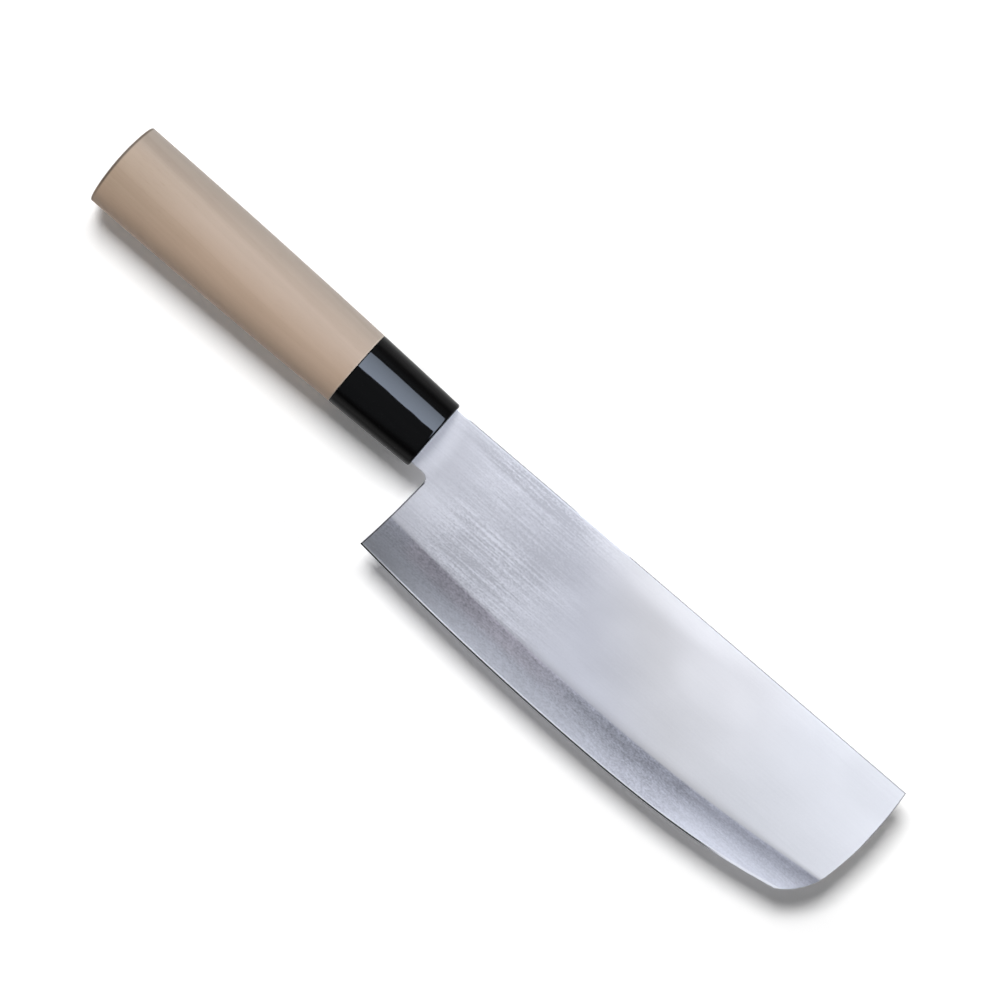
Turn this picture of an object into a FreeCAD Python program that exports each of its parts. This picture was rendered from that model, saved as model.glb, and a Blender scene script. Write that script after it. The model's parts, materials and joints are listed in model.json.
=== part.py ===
"""Nakiri knife: a three-layer blade on a hidden tang, bedded in an oval wooden handle with a ferrule.

The knife lies on its side. +X runs from the butt to the tip, +Y from the cutting edge to the spine and
+Z out of the blade's right face. It is drawn about the middle of the ferrule's front face, with the blade's
mid-plane at Z = 0, and then moved so that the origin is under the middle of its box.
Lengths are in millimetres.
"""

import FreeCAD
import Part
import math
import os

from FreeCAD import Vector

# Blade outline
BLADE_LENGTH = 165.0      # from the heel to the foremost point, along X
BLADE_HEIGHT = 47.2       # from the back of the neck down to the heel
HEEL_SETBACK = 4.25       # how far ahead of the ferrule the heel stands
NECK_HEIGHT = 20.2        # height of the neck where it leaves the ferrule
NOTCH_RADIUS = 2.2        # inside corner between the neck and the choil
HEEL_LEAN = 2.5           # how far the heel lies behind the foremost point of the choil's circle
HEEL_CURVE_HEIGHT = 38.7  # height of that point over the heel
SPINE_RISE = 1.45         # rise of the spine from the neck to the tip
SPINE_CROWN = 0.05        # swell of the spine over its own chord
FRONT_RADIUS = 104.0      # long arc of the front
TOE_RADIUS = 19.4         # short arc that turns the front into the edge
FOREMOST_RISE = 33.6      # height of the foremost point over the toe
TOE_SETBACK = 5.6         # the toe, where the edge begins, behind the long arc carried down to its height

# Cutting edge
BELLY_DROP = 3.05         # lowest point of the edge below the heel
BELLY_REACH = 74.9        # from the heel forward to that lowest point
TOE_RISE = 6.6            # rise of the edge from that lowest point to the toe
TOE_POWER = 2.74          # how late the edge rises towards the toe: 2 is a parabola

# Blade section
BLADE_THICKNESS = 1.8     # over both claddings
CORE_THICKNESS = 0.7      # middle layer alone
BEVEL_HEIGHT = 11.8       # ground face above the edge, at the heel
BEVEL_FALL = 4.1          # how much lower the ground face would be at the foremost point
BEVEL_POWER = 8.0         # how late the ground face narrows towards the front
BEVEL_CROWN = 0.08        # swell of the ground face over its chord
BEVEL_RUNOUT = 3.0        # how far the ground surface is carried past the flat, so that it cuts it cleanly
HONED_HEIGHT = 0.6        # honed strip at the very edge
HONED_THICKNESS = 0.26    # thickness at the top of the honed strip
BEVEL_STATIONS = 12       # sections through which the ground faces pass

# Tang
TANG_LENGTH = 84.0        # behind the ferrule's front face
TANG_ROOT_HEIGHT = 12.0
TANG_END_HEIGHT = 6.5
TANG_THICKNESS = 1.5

# Handle and ferrule, oval all along and tapered from the butt to the blade
HANDLE_LENGTH = 119.7     # with the ferrule
BUTT_WIDTH = 27.2         # along Y
BUTT_THICKNESS = 21.3     # along Z
FRONT_WIDTH = 22.7
FRONT_THICKNESS = 18.0
HANDLE_SWELL = 0.45       # swell of each side over the straight taper, largest half-way along
HANDLE_STATIONS = 5       # ovals through which each stretch of the handle passes
BUTT_CROWN = 1.3          # swell of the butt's end face
BUTT_EASE = 0.45          # rounding of the butt's rim
FERRULE_LENGTH = 29.4
FERRULE_WALL = 2.2        # round the tenon
FERRULE_FRONT_WALL = 5.0  # ahead of the tenon
FERRULE_EASE = 0.7        # rounding of the front rim

# Clearances, each filled by glue or resin
GLUE_FILM = 0.15          # round the tenon and ahead of it
SLOT_CLEARANCE = 0.4      # round the tang in the ferrule's slot
MORTISE_CLEARANCE = 1.0   # round the tang in the handle
MORTISE_END_GAP = 3.0     # behind the tang

# Places that follow from the sizes
NECK_TOP = NECK_HEIGHT / 2
HEEL_Y = NECK_TOP - BLADE_HEIGHT
CHOIL_X = HEEL_SETBACK + HEEL_LEAN
FOREMOST_X = HEEL_SETBACK + BLADE_LENGTH
BELLY_X = HEEL_SETBACK + BELLY_REACH
BELLY_Y = HEEL_Y - BELLY_DROP
TOE_X = FOREMOST_X - FRONT_RADIUS + math.sqrt(FRONT_RADIUS ** 2 - FOREMOST_RISE ** 2) - TOE_SETBACK
TOE_Y = BELLY_Y + TOE_RISE
SPINE_END_Y = NECK_TOP + SPINE_RISE
SEAM_X = -FERRULE_LENGTH
TENON_END_X = -FERRULE_FRONT_WALL - GLUE_FILM
MORTISE_END_X = -TANG_LENGTH - MORTISE_END_GAP

# Construction margins, none of which shows on the knife
BELOW_EDGE = 6.0          # the blank hangs this far below the edge before it is ground
PAST_ENDS = 3.0           # forms that cut or keep the blade reach this far past it
FORM_HALF_WIDTH = 5.0     # half the width of the grinding form at its top
PAST_EDGE_DEGREES = 5.0   # the heel's and the toe's arcs turn this much further, below the edge


def edge_y(x):
    """Height of the cutting edge: a parabola behind its lowest point, a later rise ahead of it."""
    if x < BELLY_X:
        return BELLY_Y + BELLY_DROP * ((BELLY_X - x) / BELLY_REACH) ** 2
    return BELLY_Y + TOE_RISE * ((x - BELLY_X) / (TOE_X - BELLY_X)) ** TOE_POWER


def bevel_height(x):
    """Height of the ground face, which narrows late on the way from the heel to the front."""
    way = max(x - HEEL_SETBACK, 0) / BLADE_LENGTH
    return BEVEL_HEIGHT - BEVEL_FALL * way ** BEVEL_POWER


def line(start, end):
    """Straight edge between two points."""
    return Part.LineSegment(start, end).toShape()


def on_circle(centre, radius, degrees):
    """Point of a circle in the XY plane."""
    turn = math.radians(degrees)
    return centre + Vector(radius * math.cos(turn), radius * math.sin(turn), 0)


def arc(centre, radius, first, last):
    """Arc in the XY plane between two directions, in degrees."""
    stops = (first, (first + last) / 2, last)
    return Part.Arc(*(on_circle(centre, radius, stop) for stop in stops)).toShape()


def direction(centre, point):
    """Direction of a point from a centre, in degrees."""
    return math.degrees(math.atan2(point.y - centre.y, point.x - centre.x))


def straight_down(centre, radius, degrees, level):
    """Where the tangent of a circle at a direction, followed clockwise, meets a level below."""
    start = on_circle(centre, radius, degrees)
    turn = math.radians(degrees)
    return start + Vector(math.sin(turn), -math.cos(turn), 0) * ((start.y - level) / math.cos(turn))


def toe_centre(front_centre):
    """Centre of the toe's arc, which touches the front's arc from inside and passes through the toe."""
    toe = Vector(TOE_X, TOE_Y, 0)
    span = toe - front_centre
    reach = FRONT_RADIUS - TOE_RADIUS
    along = (reach ** 2 - TOE_RADIUS ** 2 + span.Length ** 2) / (2 * span.Length)
    across = math.sqrt(reach ** 2 - along ** 2)
    unit = span / span.Length
    return front_centre + unit * along + Vector(-unit.y, unit.x, 0) * across


def blade_outline():
    """Wire round the blade: along the spine, down the front, below the edge and up the choil."""
    low = BELLY_Y - BELOW_EDGE
    front_centre = Vector(FOREMOST_X - FRONT_RADIUS, TOE_Y + FOREMOST_RISE, 0)
    front_reach = math.sqrt(FRONT_RADIUS ** 2 - (SPINE_END_Y - front_centre.y) ** 2)
    tip = Vector(front_centre.x + front_reach, SPINE_END_Y, 0)
    neck_back = Vector(0, NECK_TOP, 0)
    spine_middle = (neck_back + tip) / 2 + Vector(0, SPINE_CROWN, 0)

    toe_middle = toe_centre(front_centre)
    shoulder_turn = direction(front_centre, toe_middle)
    toe_turn = direction(toe_middle, Vector(TOE_X, TOE_Y, 0)) - PAST_EDGE_DEGREES
    toe_arc_end = on_circle(toe_middle, TOE_RADIUS, toe_turn)
    below_toe = straight_down(toe_middle, TOE_RADIUS, toe_turn, low)

    heel_radius = (HEEL_CURVE_HEIGHT ** 2 + HEEL_LEAN ** 2) / (2 * HEEL_LEAN)
    heel_centre = Vector(CHOIL_X - heel_radius, HEEL_Y + HEEL_CURVE_HEIGHT, 0)
    heel_turn = direction(heel_centre, Vector(HEEL_SETBACK, HEEL_Y, 0)) - PAST_EDGE_DEGREES
    heel_arc_end = on_circle(heel_centre, heel_radius, heel_turn)
    below_heel = straight_down(heel_centre, heel_radius, heel_turn, low)

    notch_y = -NECK_TOP - NOTCH_RADIUS
    notch_reach = math.sqrt((heel_radius - NOTCH_RADIUS) ** 2 - (notch_y - heel_centre.y) ** 2)
    notch_centre = Vector(heel_centre.x + notch_reach, notch_y, 0)
    notch_turn = direction(heel_centre, notch_centre)
    neck_front = Vector(0, -NECK_TOP, 0)

    return Part.Wire([
        Part.Arc(neck_back, spine_middle, tip).toShape(),
        arc(front_centre, FRONT_RADIUS, direction(front_centre, tip), shoulder_turn),
        arc(toe_middle, TOE_RADIUS, shoulder_turn, toe_turn),
        line(toe_arc_end, below_toe),
        line(below_toe, below_heel),
        line(below_heel, heel_arc_end),
        arc(heel_centre, heel_radius, heel_turn, notch_turn),
        arc(notch_centre, NOTCH_RADIUS, notch_turn, 90),
        line(Vector(notch_centre.x, -NECK_TOP, 0), neck_front),
        line(neck_front, neck_back),
    ])


def ground_section(x):
    """Section of the grinding form at x: a honed point, two swelling ground faces and a wide top."""
    edge = edge_y(x)
    height = bevel_height(x)
    honed = HONED_THICKNESS / 2
    rise = BLADE_THICKNESS / 2 - honed
    chord = height - HONED_HEIGHT

    def ground(way):
        """Point of the right ground face: way is 0 on the honed strip and 1 on the flat."""
        swell = 4 * BEVEL_CROWN * way * (1 - way)
        return Vector(x, edge + HONED_HEIGHT + chord * way, honed + rise * way + swell)

    last = 1 + BEVEL_RUNOUT / chord
    right = [ground(0), ground(last / 2), ground(last)]
    left = [Vector(point.x, point.y, -point.z) for point in right]
    point = Vector(x, edge, 0)
    top_right = Vector(x, NECK_TOP + BLADE_HEIGHT, FORM_HALF_WIDTH)
    top_left = Vector(x, NECK_TOP + BLADE_HEIGHT, -FORM_HALF_WIDTH)
    return Part.Wire([
        line(point, right[0]),
        Part.Arc(*right).toShape(),
        line(right[2], top_right),
        line(top_right, top_left),
        line(top_left, left[2]),
        Part.Arc(*reversed(left)).toShape(),
        line(left[0], point),
    ])


def ground_blade():
    """Blade without its tang: the blank's outline at full thickness, kept inside the grinding form."""
    blank = Part.Face(blade_outline()).extrude(Vector(0, 0, BLADE_THICKNESS))
    blank.translate(Vector(0, 0, -BLADE_THICKNESS / 2))
    first = -PAST_ENDS
    step = (FOREMOST_X + PAST_ENDS - first) / (BEVEL_STATIONS - 1)
    sections = [ground_section(first + step * station) for station in range(BEVEL_STATIONS)]
    form = Part.makeLoft(sections, True, False)
    return blank.common(form)


def tang_prism(front, back, clearance):
    """Tapered bar along the tang between two places on X, larger than it by the clearance all round."""
    def half_height(x):
        way = -x / TANG_LENGTH
        return (TANG_ROOT_HEIGHT + (TANG_END_HEIGHT - TANG_ROOT_HEIGHT) * way) / 2 + clearance

    half_thickness = TANG_THICKNESS / 2 + clearance
    corners = [
        Vector(front, half_height(front), -half_thickness),
        Vector(back, half_height(back), -half_thickness),
        Vector(back, -half_height(back), -half_thickness),
        Vector(front, -half_height(front), -half_thickness),
    ]
    face = Part.Face(Part.makePolygon(corners + corners[:1]))
    return face.extrude(Vector(0, 0, 2 * half_thickness))


def blade_layer(blade, tang, low, high):
    """The part of the blade and its tang between two levels on Z, as one solid."""
    box = blade.BoundBox
    box.add(tang.BoundBox)
    corner = Vector(box.XMin - PAST_ENDS, box.YMin - PAST_ENDS, low)
    slab = Part.makeBox(box.XLength + 2 * PAST_ENDS, box.YLength + 2 * PAST_ENDS, high - low, corner)
    return blade.common(slab).fuse(tang.common(slab)).removeSplitter()


def oval(x, inset):
    """Oval section of the handle at x, drawn in from its surface by the inset."""
    way = -x / HANDLE_LENGTH
    swell = 4 * HANDLE_SWELL * way * (1 - way) - inset
    half_width = (FRONT_WIDTH + (BUTT_WIDTH - FRONT_WIDTH) * way) / 2 + swell
    half_thickness = (FRONT_THICKNESS + (BUTT_THICKNESS - FRONT_THICKNESS) * way) / 2 + swell
    stretch = FreeCAD.Matrix()
    stretch.scale(1, half_width, half_thickness)
    section = Part.Wire(Part.makeCircle(1, Vector(0, 0, 0), Vector(1, 0, 0))).transformGeometry(stretch)
    section.translate(Vector(x, 0, 0))
    return section


def outer_body(back, front):
    """Stretch of the handle between two places on X, with its swelling surface."""
    step = (front - back) / (HANDLE_STATIONS - 1)
    return Part.makeLoft([oval(back + step * station, 0) for station in range(HANDLE_STATIONS)], True)


def inner_body(back, front, inset):
    """Straight tapered form inside the handle between two places on X, for the tenon and its cavity."""
    return Part.makeLoft([oval(back, inset), oval(front, inset)], True, True)


def rim_edges(solid, low, high):
    """Edges of a solid that lie wholly between two places on X."""
    return [edge for edge in solid.Edges if low < edge.BoundBox.XMin and edge.BoundBox.XMax < high]


def make_ferrule(cavity, slot):
    """Cap with an eased front rim, a cavity for the tenon and its glue, and a slot for the tang."""
    body = outer_body(SEAM_X, 0)
    rim = rim_edges(body, -FERRULE_EASE / 2, FERRULE_EASE / 2)
    return body.makeFillet(FERRULE_EASE, rim).cut(cavity).cut(slot)


def make_handle(tenon, mortise):
    """Wooden handle: an oval body with a swelling, eased butt, a tenon in front and a blind mortise."""
    swell_radius = ((BUTT_WIDTH / 2) ** 2 + BUTT_CROWN ** 2) / (2 * BUTT_CROWN)
    swell = Part.makeSphere(swell_radius, Vector(swell_radius - HANDLE_LENGTH, 0, 0))
    body = outer_body(-HANDLE_LENGTH, SEAM_X).common(swell)
    rim = rim_edges(body, -HANDLE_LENGTH - BUTT_CROWN, -HANDLE_LENGTH + 2 * BUTT_CROWN)
    return body.makeFillet(BUTT_EASE, rim).fuse(tenon).removeSplitter().cut(mortise)


def make_pieces():
    """All the solids by name, in the drawing frame."""
    blade = ground_blade()
    tang = tang_prism(0, -TANG_LENGTH, 0)
    half_core = CORE_THICKNESS / 2
    half_blade = BLADE_THICKNESS / 2

    cavity = inner_body(SEAM_X, -FERRULE_FRONT_WALL, FERRULE_WALL)
    tenon = inner_body(SEAM_X, TENON_END_X, FERRULE_WALL + GLUE_FILM)
    mortise = tang_prism(-FERRULE_FRONT_WALL, MORTISE_END_X, MORTISE_CLEARANCE)
    slot = tang_prism(0, -FERRULE_FRONT_WALL, SLOT_CLEARANCE)

    return {
        "core_steel": blade_layer(blade, tang, -half_core, half_core),
        "right_cladding": blade_layer(blade, tang, half_core, half_blade),
        "left_cladding": blade_layer(blade, tang, -half_blade, -half_core),
        "handle": make_handle(tenon, mortise),
        "ferrule": make_ferrule(cavity, slot),
        "ferrule_adhesive": cavity.cut(tenon).cut(mortise),
        "tang_bedding": mortise.cut(tang),
        "slot_seal": slot.cut(tang),
    }


def main():
    """Move the pieces so that the origin is under the middle of the knife's box, and write their files."""
    pieces = make_pieces()
    box = Part.makeCompound(list(pieces.values())).optimalBoundingBox(False, False)
    shift = Vector(-box.Center.x, -box.Center.y, -box.ZMin)
    os.makedirs("parts", exist_ok=True)
    for name, shape in pieces.items():
        shape.translate(shift)
        shape.exportStep(f"parts/{name}.step")
        print(f"{name}: {len(shape.Solids)} solid, valid {shape.isValid()}, {shape.Volume:.1f} mm3")
    print(f"size {box.XLength:.2f} x {box.YLength:.2f} x {box.ZLength:.2f} mm")
    print(f"drawing frame moved by {shift.x:.3f}, {shift.y:.3f}, {shift.z:.3f}")


main()
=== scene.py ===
import json
import math

import bpy
import numpy as np
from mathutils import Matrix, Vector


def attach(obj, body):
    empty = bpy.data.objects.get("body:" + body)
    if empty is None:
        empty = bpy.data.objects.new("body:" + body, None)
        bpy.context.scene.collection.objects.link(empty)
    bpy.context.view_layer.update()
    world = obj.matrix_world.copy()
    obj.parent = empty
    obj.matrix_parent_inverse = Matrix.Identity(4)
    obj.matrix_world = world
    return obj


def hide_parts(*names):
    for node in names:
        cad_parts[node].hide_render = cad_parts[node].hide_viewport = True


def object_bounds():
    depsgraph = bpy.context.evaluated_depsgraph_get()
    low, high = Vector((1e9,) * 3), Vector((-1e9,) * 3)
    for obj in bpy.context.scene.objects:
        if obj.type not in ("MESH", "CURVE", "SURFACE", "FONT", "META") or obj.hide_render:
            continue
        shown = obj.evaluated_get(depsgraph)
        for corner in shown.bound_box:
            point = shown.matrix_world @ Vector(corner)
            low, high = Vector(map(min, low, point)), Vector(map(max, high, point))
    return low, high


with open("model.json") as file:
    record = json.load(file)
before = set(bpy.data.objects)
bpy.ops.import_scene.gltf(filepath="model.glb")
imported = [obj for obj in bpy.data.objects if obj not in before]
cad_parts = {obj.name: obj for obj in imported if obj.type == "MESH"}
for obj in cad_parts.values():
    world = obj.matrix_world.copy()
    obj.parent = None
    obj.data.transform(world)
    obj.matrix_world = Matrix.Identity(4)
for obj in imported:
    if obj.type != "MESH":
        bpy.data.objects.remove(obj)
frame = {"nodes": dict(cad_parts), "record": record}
cad_low, cad_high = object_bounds()

# Shapes are worked out in millimetres in the knife's drawing frame: origin in the middle of the ferrule's
# front face, +X to the tip, +Y to the spine, +Z out of the blade's right face. make_piece moves them to the
# part's frame, which is in metres. The finishes read places in that frame, the steel's in the drawing frame.
MM = 0.001
MOUNTS = {mount["name"]: mount for mount in frame["record"]["mounts"]}
ORIGIN = np.array(MOUNTS["block_slot"]["pos_m"])
HAIR = 0.01               # everything stays this far inside the drawn outline

# Blade outline
HEEL_SETBACK = 4.25
BLADE_LENGTH = 165.0
NECK_TOP = 10.1
NOTCH_RADIUS = 2.2
HEEL_Y = -37.1
HEEL_LEAN = 2.5
HEEL_CURVE_HEIGHT = 38.7
SPINE_RISE = 1.45
SPINE_CROWN = 0.05
FRONT_RADIUS = 104.0
TOE_RADIUS = 19.4
FOREMOST_RISE = 33.6
TOE_SETBACK = 5.6

# Cutting edge and ground faces
BELLY_DROP = 3.05
BELLY_REACH = 74.9
TOE_RISE = 6.6
TOE_POWER = 2.74
HALF_BLADE = 0.9
HALF_CORE = 0.35
BEVEL_HEIGHT = 11.8
BEVEL_FALL = 4.1
BEVEL_POWER = 8.0
BEVEL_CROWN = 0.08
HONED_HEIGHT = 0.6
HALF_HONED = 0.13

# Finish of the blade, finer than the solids show it
RIM_EASE = 0.14           # rounding of the spine, the front and the choil
SHOULDER_BLEND = np.array([
    [0, 30, 70, 90, 130, 165],                    # at these places along the blade,
    [0.03, 0.03, 0.065, 0.085, 0.085, 0.045],     # the ground face and the flat run into each other by this
])
CREST = 0.004             # polishing leaves the shoulder this much proud of the flat
CREST_REACH = 2.2         # and the flat falls away from it over about this far
CREST_START = 45.0        # it grows in from here
CREST_GROWTH = 50.0       # over this length
SPINE_FALL = 0.020        # the flat is polished down by this much at the spine
SPINE_FALL_REACH = 9.0    # starting this far below it
EASED_SHARE = 0.6         # rounding takes at most this share of a layer's thickness

# Tang
TANG_LENGTH = 84.0
TANG_ROOT = 6.0           # half its height at the ferrule's front face
TANG_END = 3.25           # half its height at its end
HALF_TANG = 0.75          # half its thickness

# Handle and ferrule
HANDLE_LENGTH = 119.7
BUTT_HALF = np.array([13.6, 10.65])     # along Y and Z
FRONT_HALF = np.array([11.35, 9.0])
HANDLE_SWELL = 0.45
BUTT_CROWN = 1.3
BUTT_EASE = 0.45
FERRULE_LENGTH = 29.4
FERRULE_WALL = 2.2
FERRULE_FRONT_WALL = 5.0
FERRULE_EASE = 0.7
GLUE_FILM = 0.15
SLOT_CLEARANCE = 0.4
MORTISE_CLEARANCE = 1.0
MORTISE_END_GAP = 3.0
SEAM_EASE = 0.18          # the wood and the ferrule are both broken a little where they meet

# Places that follow
CHOIL_X = HEEL_SETBACK + HEEL_LEAN
FOREMOST_X = HEEL_SETBACK + BLADE_LENGTH
BELLY_X = HEEL_SETBACK + BELLY_REACH
BELLY_Y = HEEL_Y - BELLY_DROP
TOE_Y = BELLY_Y + TOE_RISE
FRONT_CENTRE = np.array([FOREMOST_X - FRONT_RADIUS, TOE_Y + FOREMOST_RISE])
TOE = np.array([FRONT_CENTRE[0] + math.sqrt(FRONT_RADIUS ** 2 - FOREMOST_RISE ** 2) - TOE_SETBACK, TOE_Y])
HEEL_RADIUS = (HEEL_CURVE_HEIGHT ** 2 + HEEL_LEAN ** 2) / (2 * HEEL_LEAN)
HEEL_CENTRE = np.array([CHOIL_X - HEEL_RADIUS, HEEL_Y + HEEL_CURVE_HEIGHT])
NOTCH_Y = -NECK_TOP - NOTCH_RADIUS
NOTCH_REACH = math.sqrt((HEEL_RADIUS - NOTCH_RADIUS) ** 2 - (NOTCH_Y - HEEL_CENTRE[1]) ** 2)
NOTCH = np.array([HEEL_CENTRE[0] + NOTCH_REACH, NOTCH_Y])
SPINE_END_Y = NECK_TOP + SPINE_RISE
SPINE_END_X = FRONT_CENTRE[0] + math.sqrt(FRONT_RADIUS ** 2 - (SPINE_END_Y - FRONT_CENTRE[1]) ** 2)
SWELL_RADIUS = (BUTT_HALF[0] ** 2 + BUTT_CROWN ** 2) / (2 * BUTT_CROWN)


def toe_centre():
    """Centre of the toe's arc, which touches the front's arc from inside and passes through the toe."""
    span = TOE - FRONT_CENTRE
    length = np.hypot(*span)
    reach = FRONT_RADIUS - TOE_RADIUS
    along = (reach ** 2 - TOE_RADIUS ** 2 + length ** 2) / (2 * length)
    across = math.sqrt(reach ** 2 - along ** 2)
    unit = span / length
    return FRONT_CENTRE + unit * along + np.array([-unit[1], unit[0]]) * across


TOE_CENTRE = toe_centre()
ARCS_MEET_Y = TOE_CENTRE[1] + TOE_RADIUS * (TOE_CENTRE[1] - FRONT_CENTRE[1]) / (FRONT_RADIUS - TOE_RADIUS)


# Blade outline as functions

def edge_y(x):
    """Cutting edge: a parabola behind its lowest point, a later rise ahead of it."""
    behind = BELLY_DROP * ((BELLY_X - x) / BELLY_REACH) ** 2
    ahead = TOE_RISE * (np.maximum(x - BELLY_X, 0) / (TOE[0] - BELLY_X)) ** TOE_POWER
    return BELLY_Y + HAIR + np.where(x < BELLY_X, behind, ahead)


def bevel_height(x):
    """Height of the ground face over the edge, which narrows late on the way to the front."""
    way = np.maximum(x - HEEL_SETBACK, 0) / BLADE_LENGTH
    return BEVEL_HEIGHT - BEVEL_FALL * way ** BEVEL_POWER


def clad_height(x):
    """Height over the edge at which the ground face leaves the core and enters the cladding."""
    half = HALF_BLADE - HALF_HONED + 4 * BEVEL_CROWN
    root = math.sqrt(half ** 2 - 16 * BEVEL_CROWN * (HALF_CORE - HALF_HONED))
    way = (half - root) / (8 * BEVEL_CROWN)
    return HONED_HEIGHT + (bevel_height(x) - HONED_HEIGHT) * way


def spine_y(x):
    """Spine: a straight rise from the neck to the tip with a slight swell."""
    way = x / SPINE_END_X
    return NECK_TOP - HAIR + SPINE_RISE * way + 4 * SPINE_CROWN * way * (1 - way)


def neck_low_y(x):
    """Underside of the neck, which turns down into the choil in a quarter circle."""
    turn = np.clip(x - NOTCH[0], 0, NOTCH_RADIUS)
    return NOTCH[1] + np.sqrt(NOTCH_RADIUS ** 2 - turn ** 2)


def choil_x(y):
    """Choil: a long arc that leans back to the heel."""
    below = np.minimum(y - HEEL_CENTRE[1], 0)
    return HEEL_CENTRE[0] + np.sqrt(HEEL_RADIUS ** 2 - below ** 2) + HAIR


def front_x(y):
    """Front: a long arc that runs into the toe's shorter arc."""
    long_arc = FRONT_CENTRE[0] + np.sqrt(FRONT_RADIUS ** 2 - (y - FRONT_CENTRE[1]) ** 2)
    drop = np.clip(y - TOE_CENTRE[1], -TOE_RADIUS, TOE_RADIUS)
    toe_arc = TOE_CENTRE[0] + np.sqrt(TOE_RADIUS ** 2 - drop ** 2)
    return np.where(y > ARCS_MEET_Y, long_arc, toe_arc) - HAIR


def rim_distance(x, y):
    """Distance from the nearest of the spine, the front, the choil and the neck's underside."""
    spine = spine_y(x) - y
    long_arc = FRONT_RADIUS - np.hypot(x - FRONT_CENTRE[0], y - FRONT_CENTRE[1])
    toe_arc = TOE_RADIUS - np.hypot(x - TOE_CENTRE[0], y - TOE_CENTRE[1])
    front = np.where(y > ARCS_MEET_Y, long_arc, np.where(x < TOE_CENTRE[0], front_x(y) - x, toe_arc)) - HAIR
    notch = np.hypot(x - NOTCH[0], y - NOTCH[1]) - NOTCH_RADIUS
    choil = np.where(y < NOTCH[1], x - choil_x(y), np.where(x < NOTCH[0], y + NECK_TOP, notch))
    return np.maximum(np.minimum(np.minimum(spine, front), choil), 0)


def face_height(x, y):
    """Half thickness of the blade: the lower of the flat and the ground face, run into each other.

    The ground face rises from the honed strip with a slight swell. The flat falls away from the shoulder by
    a hair, more towards the tip, and falls again with the square of the way to the spine. The honed strip is
    straight.
    """
    rise = y - edge_y(x)
    way = (rise - HONED_HEIGHT) / (bevel_height(x) - HONED_HEIGHT)
    ground = HALF_HONED + (HALF_BLADE - HALF_HONED) * way + 4 * BEVEL_CROWN * way * (1 - way)
    ground = np.where(way > 1, HALF_BLADE + (way - 1) * (HALF_BLADE - HALF_HONED - 4 * BEVEL_CROWN), ground)
    above = np.maximum(rise - bevel_height(x), 0)
    forward = np.clip((x - CREST_START) / CREST_GROWTH, 0, 1)
    flat = HALF_BLADE - CREST * forward * (1 - np.exp(-above / CREST_REACH))
    flat = flat - SPINE_FALL * np.maximum(1 - (spine_y(x) - y) / SPINE_FALL_REACH, 0) ** 2
    blend = np.interp(x, *SHOULDER_BLEND)
    share = np.clip(0.5 + 0.5 * (flat - ground) / blend, 0, 1)
    joined = flat + (ground - flat) * share - blend * share * (1 - share)
    honed = HALF_HONED * rise / HONED_HEIGHT
    return np.where(way < 0, np.maximum(honed, 0), joined)


# Blade grid

RIM_STEPS = RIM_EASE * np.array([0, 0.08, 0.3, 0.62, 1, 2])     # rows and columns crowd together at a rim
COLUMN_COUNT = 170
SETTLING = 40             # rounds in which rows and columns find each other
ABOVE_SHOULDER = 2.6      # rows lie close together from here
BELOW_SHOULDER = 3.2      # to here
CLAD_ROWS = (8, 20, 8)    # rows from line to line, from the notch's level to the clad line
EDGE_ROWS = (6, 3)        # and on to the edge
TOUCHING = 0.004          # faces closer than this share their points
FAR_FROM_RIM = 2.0


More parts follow.
